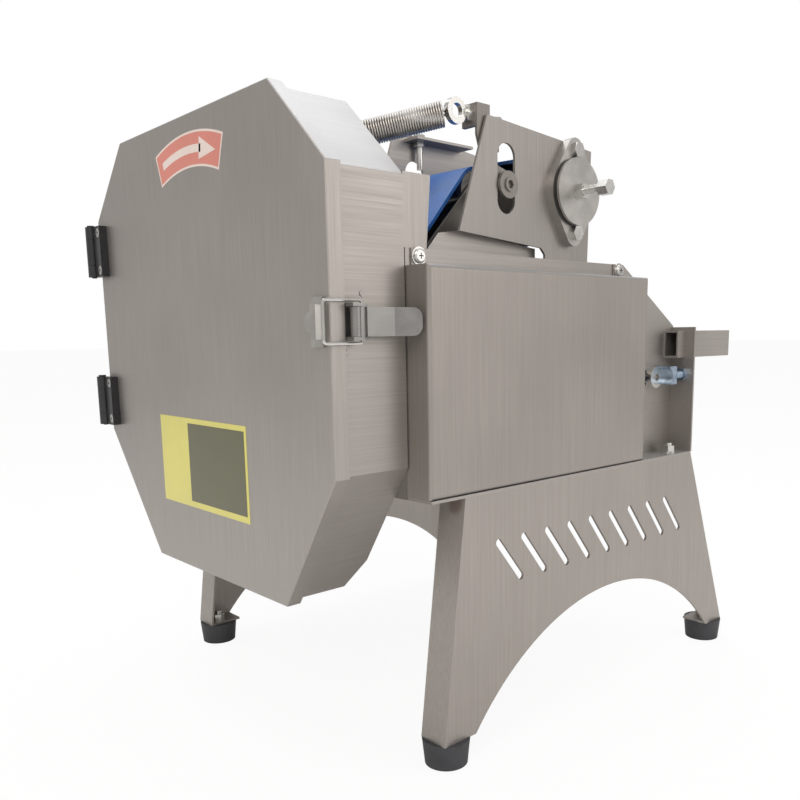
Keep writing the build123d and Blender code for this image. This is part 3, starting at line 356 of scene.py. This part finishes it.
class NodeTreeMaker:
    """A geometry node group that is built in code, applied to one carrier and then frozen to a mesh."""

    def __init__(self, name: str) -> None:
        """Make the empty group.

        Args:
            name: the group's name.
        """
        self.tree = bpy.data.node_groups.new(name, "GeometryNodeTree")
        self.tree.interface.new_socket("Geometry", in_out="INPUT", socket_type="NodeSocketGeometry")
        self.tree.interface.new_socket("Geometry", in_out="OUTPUT", socket_type="NodeSocketGeometry")
        self.numbers: Dict[str, str] = {}
        self.entry = self.tree.nodes.new("NodeGroupInput")
        self.exit = self.tree.nodes.new("NodeGroupOutput")

    def number(self, label: str, value: float) -> bpy.types.NodeSocket:
        """Add a named number to the group's inputs and return its socket."""
        made = self.tree.interface.new_socket(label, in_out="INPUT", socket_type="NodeSocketFloat")
        made.default_value = value
        self.numbers[label] = made.identifier
        return self.entry.outputs[label]

    def node(self, kind: str, values: Optional[Dict[str, object]] = None,
             links: Optional[Dict[str, bpy.types.NodeSocket]] = None, **settings: object) -> bpy.types.Node:
        """Add a node with its settings, constants and links."""
        made = self.tree.nodes.new(kind)
        for key, value in settings.items():
            setattr(made, key, value)
        for key, value in (values or {}).items():
            made.inputs[key].default_value = value
        for key, value in (links or {}).items():
            self.tree.links.new(value, made.inputs[key])
        return made

    def freeze(self, name: str, carrier: bpy.types.Mesh, values: Dict[str, float], finish: Finish,
               shape: bpy.types.NodeSocket) -> bpy.types.Object:
        """Run the group on a carrier mesh and keep the result as a plain mesh object.

        Args:
            name: the piece's name.
            carrier: the mesh that the group reads.
            values: the numbers by label.
            finish: the surface of the result.
            shape: the socket with the finished geometry.

        Returns:
            The frozen object.
        """
        real = self.node("GeometryNodeRealizeInstances", links={"Geometry": shape})
        painted = self.node("GeometryNodeSetMaterial", {"Material": SHOP.material(finish)},
                            {"Geometry": real.outputs[0]})
        self.tree.links.new(painted.outputs[0], self.exit.inputs[0])
        source = bpy.data.objects.new(name + "_source", carrier)
        bpy.context.scene.collection.objects.link(source)
        modifier = source.modifiers.new("shape", "NODES")
        modifier.node_group = self.tree
        for label, value in values.items():
            modifier[self.numbers[label]] = value
        bpy.context.view_layer.update()
        graph = bpy.context.evaluated_depsgraph_get()
        mesh = bpy.data.meshes.new_from_object(source.evaluated_get(graph))
        mesh.name = name
        if not mesh.materials:
            mesh.materials.append(SHOP.material(finish))
        bpy.data.objects.remove(source)
        bpy.data.node_groups.remove(self.tree)
        made = bpy.data.objects.new(name, mesh)
        bpy.context.scene.collection.objects.link(made)
        return made


def point_mesh(name: str, points: Sequence[Vector], normals: Optional[Sequence[Vector]] = None) -> bpy.types.Mesh:
    """A mesh of loose points, each with the direction that its copy faces."""
    mesh = bpy.data.meshes.new(name)
    mesh.from_pydata([tuple(p) for p in points], [], [])
    if normals is not None:
        facing = mesh.attributes.new("facing", "FLOAT_VECTOR", "POINT")
        for i, normal in enumerate(normals):
            facing.data[i].vector = normal
    return mesh


@dataclass
class BeltSkin:
    """The moulded nubs on the outside of one endless belt."""

    name: str
    body: str
    slot: str
    circles: List[Tuple[float, float, float]]
    left: float
    right: float
    pitch: float = 2.6
    nub_radius: float = 0.75
    nub_height: float = 0.45

    def path(self) -> List[Tuple[Vector, Vector]]:
        """Walk round the belt and give evenly spaced places with their outward directions."""
        arcs: List[Tuple[float, float, float, float, float]] = []
        count = len(self.circles)
        for i, (y1, z1, r1) in enumerate(self.circles):
            y0, z0, r0 = self.circles[i - 1]
            y2, z2, r2 = self.circles[(i + 1) % count]
            arcs.append((y1, z1, r1, self._normal(y0, z0, r0, y1, z1, r1), self._normal(y1, z1, r1, y2, z2, r2)))
        line: List[Tuple[Vector, Vector]] = []
        for i, (y, z, r, start, end) in enumerate(arcs):
            while end > start:
                end -= 2 * math.pi
            steps = max(2, int(abs(end - start) * r / 0.4))
            for k in range(steps + 1):
                a = start + (end - start) * k / steps
                line.append((Vector((0, y + r * math.cos(a), z + r * math.sin(a))), Vector((0, math.cos(a), math.sin(a)))))
        line.append(line[0])
        total = sum((line[k + 1][0] - line[k][0]).length for k in range(len(line) - 1))
        rows = int(total / self.pitch)
        step = total / rows
        places: List[Tuple[Vector, Vector]] = []
        walked, target = 0.0, 0.0
        for k in range(len(line) - 1):
            length = (line[k + 1][0] - line[k][0]).length
            while length > 0 and target <= walked + length and len(places) < rows:
                t = (target - walked) / length
                places.append((line[k][0].lerp(line[k + 1][0], t), line[k][1].lerp(line[k + 1][1], t).normalized()))
                target += step
            walked += length
        return places

    @staticmethod
    def _normal(y0: float, z0: float, r0: float, y1: float, z1: float, r1: float) -> float:
        """Angle of the outward direction on the run from one circle to the next, walked clockwise."""
        along = math.atan2(z1 - z0, y1 - y0)
        return along + math.acos(max(-1.0, min(1.0, (r0 - r1) / math.hypot(y1 - y0, z1 - z0))))

    def build(self) -> bpy.types.Object:
        """Set a low nub on every place of the grid, every other row shifted by half a pitch."""
        points: List[Vector] = []
        normals: List[Vector] = []
        for row, (place, facing) in enumerate(self.path()):
            x = self.left + 2.0 + (self.pitch / 2 if row % 2 else 0.0)
            while x < self.right - 1.6:
                points.append(at(x, place.y, place.z))
                normals.append(facing)
                x += self.pitch
        maker = NodeTreeMaker(self.name)
        radius = maker.number("Nub radius", 0.0007)
        height = maker.number("Nub height", 0.0004)
        cone = maker.node("GeometryNodeMeshCone", {"Vertices": 6}, {"Radius Bottom": radius, "Depth": height},
                          fill_type="NGON")
        slim = maker.node("ShaderNodeMath", {1: 0.45}, {0: radius}, operation="MULTIPLY")
        maker.tree.links.new(slim.outputs[0], cone.inputs["Radius Top"])
        facing = maker.node("GeometryNodeInputNamedAttribute", {"Name": "facing"}, data_type="FLOAT_VECTOR")
        turn = maker.node("FunctionNodeAlignRotationToVector", links={"Vector": facing.outputs[0]}, axis="Z")
        copies = maker.node("GeometryNodeInstanceOnPoints", links={
            "Points": maker.entry.outputs["Geometry"], "Instance": cone.outputs["Mesh"],
            "Rotation": turn.outputs[0]})
        made = maker.freeze(self.name, point_mesh(self.name + "_places", points, normals),
                            {"Nub radius": self.nub_radius / 1000, "Nub height": self.nub_height / 1000}, NUB,
                            copies.outputs[0])
        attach(made, self.body)
        return made


@dataclass
class CoilSpring:
    """The tension spring between the housing and the press arm, with a loop at each end."""

    start: Point = (360.0, 90.5, 551.0)
    end: Point = (408.5, 144.5, 567.5)
    radius: float = 10.0
    wire: float = 0.95
    turns: float = 34.0

    def build(self) -> bpy.types.Object:
        """Make the coils from a spiral curve and hide the spring part of the model; the hooks are made by hooks()."""
        low, high = at(*self.start), at(*self.end)
        maker = NodeTreeMaker("spring_coils")
        wire = maker.number("Wire radius", 0.001)
        radius = maker.number("Coil radius", 0.01)
        turns = maker.number("Turns", 30.0)
        height = maker.number("Length", 0.07)
        spiral = maker.node("GeometryNodeCurveSpiral", {"Resolution": 22},
                            {"Rotations": turns, "Start Radius": radius, "End Radius": radius, "Height": height})
        ring = maker.node("GeometryNodeCurvePrimitiveCircle", {"Resolution": 8}, {"Radius": wire})
        tube = maker.node("GeometryNodeCurveToMesh", {"Fill Caps": True},
                          {"Curve": spiral.outputs[0], "Profile Curve": ring.outputs[0]})
        smooth = maker.node("GeometryNodeSetShadeSmooth", links={"Geometry": tube.outputs[0]})
        made = maker.freeze("spring_coils", point_mesh("spring_place", [Vector((0, 0, 0))]),
                            {"Wire radius": self.wire / 1000, "Coil radius": self.radius / 1000,
                             "Turns": self.turns, "Length": (high - low).length}, SPRING_STEEL, smooth.outputs[0])
        turn = (high - low).to_track_quat("Z", "Y").to_matrix().to_4x4()
        made.data.transform(Matrix.Translation(low) @ turn)
        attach(made, "frame")
        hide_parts("spring")
        return made

    def hooks(self) -> List[bpy.types.Object]:
        """Make the wire hooks at the two ends."""
        axis = (at(*self.end) - at(*self.start)).normalized()
        made: List[bpy.types.Object] = []
        for name, tip, root in (("spring_hook_low", at(353, 87.8, 549), at(*self.start)),
                                ("spring_hook_high", at(415.8, 147.2, 570), at(*self.end))):
            side = axis.cross(Vector((0, 0, 1))).normalized()
            away = (tip - root)
            rim = root + side * (self.radius / 1000) * (1 if away.dot(side) > 0 else -1)
            points = [rim, rim.lerp(tip, 0.45) + Vector((0, 0, 0.004)), tip + Vector((0, 0, 0.005)),
                      tip, tip + Vector((0, 0, -0.005)), root.lerp(tip, 0.5) + Vector((0, 0, -0.004)), root]
            made.append(wire_piece(name, points, self.wire / 1000, SPRING_STEEL))
            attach(made[-1], "frame")
        return made


def wire_piece(name: str, points: Sequence[Vector], radius: float, finish: Finish) -> bpy.types.Object:
    """A smooth round wire through a few points.

    Args:
        name: the piece's name.
        points: the points that the wire passes.
        radius: the wire's radius in metres.
        finish: the surface.

    Returns:
        The wire as a mesh object.
    """
    curve = bpy.data.curves.new(name + "_line", "CURVE")
    curve.dimensions = "3D"
    curve.bevel_depth = radius
    curve.bevel_resolution = 3
    curve.use_fill_caps = True
    line = curve.splines.new("NURBS")
    line.points.add(len(points) - 1)
    for knot, place in zip(line.points, points):
        knot.co = (*place, 1.0)
    line.order_u = 3
    line.use_endpoint_u = True
    source = bpy.data.objects.new(name + "_line", curve)
    bpy.context.scene.collection.objects.link(source)
    graph = bpy.context.evaluated_depsgraph_get()
    mesh = bpy.data.meshes.new_from_object(source.evaluated_get(graph))
    mesh.name = name
    bpy.data.objects.remove(source)
    mesh.materials.clear()
    for face in mesh.polygons:
        face.use_smooth = True
    return MeshBuilder.finish(name, mesh, [finish])


@dataclass
class Thread:
    """The screw thread on a plain rod."""

    name: str
    body: str
    slot: str
    start: Point
    end: Point
    radius: float
    pitch: float = 1.25
    finish: Finish = ZINC

    def build(self) -> bpy.types.Object:
        """Wind a small ridge round the rod."""
        low, high = at(*self.start), at(*self.end)
        length = (high - low).length
        maker = NodeTreeMaker(self.name)
        ridge = maker.number("Ridge", 0.0003)
        radius = maker.number("Radius", 0.004)
        turns = maker.number("Turns", 10.0)
        height = maker.number("Length", 0.05)
        spiral = maker.node("GeometryNodeCurveSpiral", {"Resolution": 18},
                            {"Rotations": turns, "Start Radius": radius, "End Radius": radius, "Height": height})
        ring = maker.node("GeometryNodeCurvePrimitiveCircle", {"Resolution": 4}, {"Radius": ridge})
        tube = maker.node("GeometryNodeCurveToMesh", {"Fill Caps": True},
                          {"Curve": spiral.outputs[0], "Profile Curve": ring.outputs[0]})
        made = maker.freeze(self.name, point_mesh(self.name + "_place", [Vector((0, 0, 0))]),
                            {"Ridge": 0.00042, "Radius": self.radius / 1000, "Turns": length * 1000 / self.pitch,
                             "Length": length}, self.finish, tube.outputs[0])
        turn = (high - low).to_track_quat("Z", "Y").to_matrix().to_4x4()
        made.data.transform(Matrix.Translation(low) @ turn)
        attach(made, self.body)
        return made


@dataclass
class CrossRecess:
    """The cross cut in the head of a pan screw, laid in as a thin dark cross: painted shade where the hollow of the
    cut would be.
    """

    name: str
    body: str
    slot: str
    centre: Point
    along: Axis
    reach: float = 2.4
    width: float = 0.9

    def build(self) -> bpy.types.Object:
        """Make the cross as one flat twelve-sided outline."""
        r, w = self.reach, self.width / 2
        ring = [(-w, -r), (w, -r), (w, -w), (r, -w), (r, w), (w, w), (w, r), (-w, r), (-w, w), (-r, w), (-r, -w), (-w, -w)]
        x, y, z = self.centre
        if self.along is Axis.X:
            outline = [at(x, y + a, z + b) for a, b in ring]
            lift = Vector((0.00012, 0, 0))
        else:
            outline = [at(x + a, y, z + b) for a, b in ring]
            lift = Vector((0, -0.00012, 0))
        # The cross is a flat film of painted shade, not a cut in the head.
        made = MeshBuilder.slab(self.name, outline, lift, RECESS_SHADE)
        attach(made, self.body)
        return made


@dataclass
class DoorDecals:
    """The bare label and the plain turning arrow on the door."""

    face: float = 0.0

    def slab(self, name: str, corners: Sequence[Tuple[float, float]], lift: float, finish: Finish) -> None:
        """A film on the door, lifted a little off its face."""
        outline = [at(x, self.face - lift, z) for x, z in corners]
        made = MeshBuilder.slab(name, outline, Vector((0, 0.00016, 0)), finish)
        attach(made, "door")

    def band(self, inner: float, outer: float, start: float, end: float, centre: Tuple[float, float],
             steps: int = 24) -> List[Tuple[float, float]]:
        """Corner points of a curved band between two angles in degrees."""
        cx, cz = centre
        angles = [math.radians(start + (end - start) * k / steps) for k in range(steps + 1)]
        top = [(cx + outer * math.cos(a), cz + outer * math.sin(a)) for a in angles]
        low = [(cx + inner * math.cos(a), cz + inner * math.sin(a)) for a in reversed(angles)]
        return top + low

    def build(self) -> None:
        """Lay the label and the arrow."""
        self.slab("door_label", [(129, 214), (303, 214), (303, 303), (129, 303)], 0.20, LABEL)
        self.slab("door_label_panel", [(190, 220), (299, 220), (299, 298), (190, 298)], 0.34, LABEL_PANEL)
        centre = (223.5, 365.0)
        self.slab("arrow_border", self.band(168.0, 199.0, 70.5, 109.5, centre), 0.20, STICKER_EDGE)
        self.slab("arrow_ground", self.band(170.0, 197.0, 71.1, 108.9, centre), 0.34, STICKER)
        shaft = self.band(180.0, 187.0, 82.0, 106.0, centre)
        self.slab("arrow_shaft", shaft, 0.48, STICKER_EDGE)
        head = []
        for radius, angle in ((174.0, 83.0), (183.5, 73.5), (193.0, 83.0)):
            a = math.radians(angle)
            head.append((centre[0] + radius * math.cos(a), centre[1] + radius * math.sin(a)))
        self.slab("arrow_head", head, 0.48, STICKER_EDGE)


@dataclass
class Studio:
    """Floor, light and camera."""

    level: float = 1.0
    camera_place: Point = (946.4, -362.2, 381.4)
    yaw: float = 47.3
    pitch: float = 9.3
    roll: float = -0.7

    def floor(self) -> None:
        """Lay a plain white floor."""
        mesh = bpy.data.meshes.new("floor")
        mesh.from_pydata([(-30, -30, 0), (30, -30, 0), (30, 30, 0), (-30, 30, 0)], [], [(0, 1, 2, 3)])
        made = bpy.data.objects.new("floor", mesh)
        white = bpy.data.materials.new("floor_white")
        white.use_nodes = True
        shader = white.node_tree.nodes["Principled BSDF"]
        shader.inputs["Base Color"].default_value = (0.93, 0.93, 0.93, 1)
        shader.inputs["Roughness"].default_value = 0.9
        tree = white.node_tree
        glow = tree.nodes.new("ShaderNodeEmission")
        glow.inputs["Color"].default_value = (1, 1, 1, 1)
        path = tree.nodes.new("ShaderNodeLightPath")
        share = tree.nodes.new("ShaderNodeMath")
        share.operation = "MULTIPLY"
        share.inputs[1].default_value = 0.92
        blend = tree.nodes.new("ShaderNodeMixShader")
        tree.links.new(path.outputs["Is Camera Ray"], share.inputs[0])
        tree.links.new(share.outputs[0], blend.inputs[0])
        tree.links.new(shader.outputs[0], blend.inputs[1])
        tree.links.new(glow.outputs[0], blend.inputs[2])
        tree.links.new(blend.outputs[0], tree.nodes["Material Output"].inputs[0])
        mesh.materials.append(white)
        bpy.context.scene.collection.objects.link(made)

    def sky(self) -> None:
        """A soft even surround that the camera sees as white."""
        world = bpy.data.worlds.new("surround")
        bpy.context.scene.world = world
        world.use_nodes = True
        tree = world.node_tree
        back = tree.nodes["Background"]
        back.inputs["Color"].default_value = (1.0, 0.985, 0.965, 1)
        back.inputs["Strength"].default_value = 0.62 * self.level
        seen = tree.nodes.new("ShaderNodeBackground")
        seen.inputs["Color"].default_value = (1, 1, 1, 1)
        seen.inputs["Strength"].default_value = 1.0
        path = tree.nodes.new("ShaderNodeLightPath")
        mix = tree.nodes.new("ShaderNodeMixShader")
        tree.links.new(path.outputs["Is Camera Ray"], mix.inputs[0])
        tree.links.new(back.outputs[0], mix.inputs[1])
        tree.links.new(seen.outputs[0], mix.inputs[2])
        tree.links.new(mix.outputs[0], tree.nodes["World Output"].inputs[0])

    def lamp(self, name: str, place: Point, aim: Point, size: float, power: float, colour: Colour) -> None:
        """A square soft light aimed at a point."""
        light = bpy.data.lights.new(name, "AREA")
        light.size = size
        light.energy = power * self.level
        light.color = colour
        made = bpy.data.objects.new(name, light)
        made.location = place
        made.rotation_euler = (Vector(aim) - Vector(place)).to_track_quat("-Z", "Y").to_euler()
        bpy.context.scene.collection.objects.link(made)

    def camera(self) -> None:
        """Set the camera where the photograph was taken from."""
        a, e, r = (math.radians(v) for v in (self.yaw, self.pitch, self.roll))
        back = Vector((math.sin(a) * math.cos(e), -math.cos(a) * math.cos(e), math.sin(e)))
        right = Vector((math.cos(a), math.sin(a), 0))
        up = back.cross(right)
        right_rolled = right * math.cos(r) + up * math.sin(r)
        up_rolled = up * math.cos(r) - right * math.sin(r)
        lens = bpy.data.cameras.new("camera")
        lens.sensor_width = 36.0
        lens.lens = 816.3 * 36.0 / 800.0
        lens.shift_x = (400.0 - 438.6) / 800.0
        lens.shift_y = (467.9 - 400.0) / 800.0
        lens.clip_start = 0.01
        made = bpy.data.objects.new("camera", lens)
        turn = Matrix((right_rolled, up_rolled, back)).transposed().to_4x4()
        made.matrix_world = Matrix.Translation(at(*self.camera_place)) @ turn
        bpy.context.scene.collection.objects.link(made)
        bpy.context.scene.camera = made

    def build(self) -> None:
        """Put up the whole studio."""
        bpy.context.scene.view_settings.view_transform = "Standard"
        self.floor()
        self.sky()
        self.lamp("key", (1.6, -2.2, 2.4), (0, 0, 0.3), 1.8, 38.0, (1.0, 0.97, 0.93))
        self.lamp("top", (-0.4, 0.2, 2.6), (0, 0, 0.3), 2.4, 30.0, (0.96, 0.98, 1.0))
        self.lamp("side", (2.6, 1.2, 1.2), (0, 0, 0.3), 1.4, 14.0, (1.0, 0.98, 0.96))
        self.camera()


@dataclass
class Slicer:
    """The whole machine."""

    belts: List[BeltSkin] = field(default_factory=lambda: [
        BeltSkin("press_nubs", "press_arm", "belt",
                 [(118.0, 425.0, 15.0), (202.0, 512.6, 21.5), (289.0, 514.0, 40.0)], 314.5, 390.0),
        BeltSkin("conveyor_nubs", "frame", "belt",
                 [(112.0, 331.0, 29.0), (438.0, 331.0, 29.0)], 311.0, 390.0),
    ])

    def paint(self) -> None:
        """Give every CAD node its surface."""
        for name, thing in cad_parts.items():
            finish = NODE_FINISH.get(name)
            if finish is None:
                continue
            thing.data.materials.clear()
            thing.data.materials.append(SHOP.material(finish))

    def threads(self) -> None:
        """Cut the visible threads."""
        Thread("tension_thread", "frame", "zinc", (448, 459, 333), (448, 494.5, 333), 3.95).build()
        Thread("set_bolt_thread", "frame", "bright_steel", (451, 289, 514), (467.5, 289, 514), 3.95,
               finish=BRIGHT).build()

    def screws(self) -> None:
        """Mark the driving recess of every visible screw with a dark cross of painted shade."""
        for i, y in enumerate((91.6, 369.6)):
            CrossRecess(f"cover_cross_{i + 1}", "frame", "bright_steel", (437.08, y, 444.5), Axis.X).build()
        for i, z in enumerate((291.5, 331.5, 455.5, 495.5)):
            CrossRecess(f"hinge_cross_{i + 1}", "door", "bright_steel", (16.5, -8.05, z), Axis.Y, 2.2, 0.8).build()
        for i, dz in enumerate((-9.6, 10.0)):
            CrossRecess(f"keeper_cross_{i + 1}", "door", "bright_steel", (419.5, -3.05, 391.5 + dz), Axis.Y, 1.5, 0.6).build()

    def build(self) -> None:
        """Dress the machine."""
        self.paint()
        self.screws()
        for belt in self.belts:
            belt.build()
        spring = CoilSpring()
        spring.build()
        spring.hooks()
        self.threads()
        DoorDecals().build()


def main() -> None:
    """Build the scene."""
    logging.basicConfig(level=logging.INFO)
    Slicer().build()
    Studio().build()
    LOG.info("scene built")


if __name__ == "__main__":
    main()
